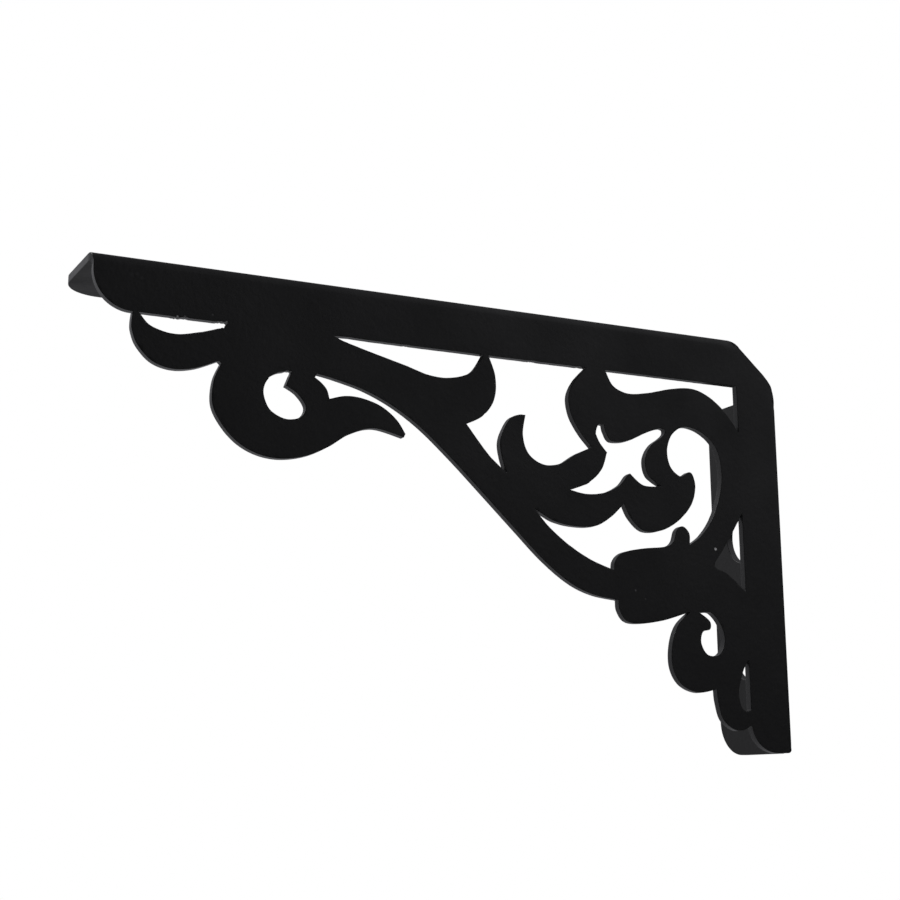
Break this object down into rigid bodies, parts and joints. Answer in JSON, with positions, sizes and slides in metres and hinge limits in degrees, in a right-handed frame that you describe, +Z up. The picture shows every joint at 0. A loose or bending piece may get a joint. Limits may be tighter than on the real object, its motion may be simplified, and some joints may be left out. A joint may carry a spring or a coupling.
{
  "type": "shelf bracket",
  "caption": "Wall-fixed shelf bracket: a black metal plate pierced with flowing scrollwork, folded back along its top to carry a shelf and along its side to meet the wall.",
  "frame": {"origin": "on the wall flange's outer face, midway between its two screw holes", "axes": "+X out of the wall flange's face into the wall, so the bracket reaches out along -X; +Y backwards from the scroll plate, the way both flanges run; +Z up"},
  "size_m": [0.3066, 0.0482, 0.1787],
  "materials": {
    "black_paint": "satin black paint, evenly coated, with faint specks and a few small bare nicks"
  },
  "bodies": {
    "root": {"scroll_bracket": "black_paint"}
  },
  "joints": []
}
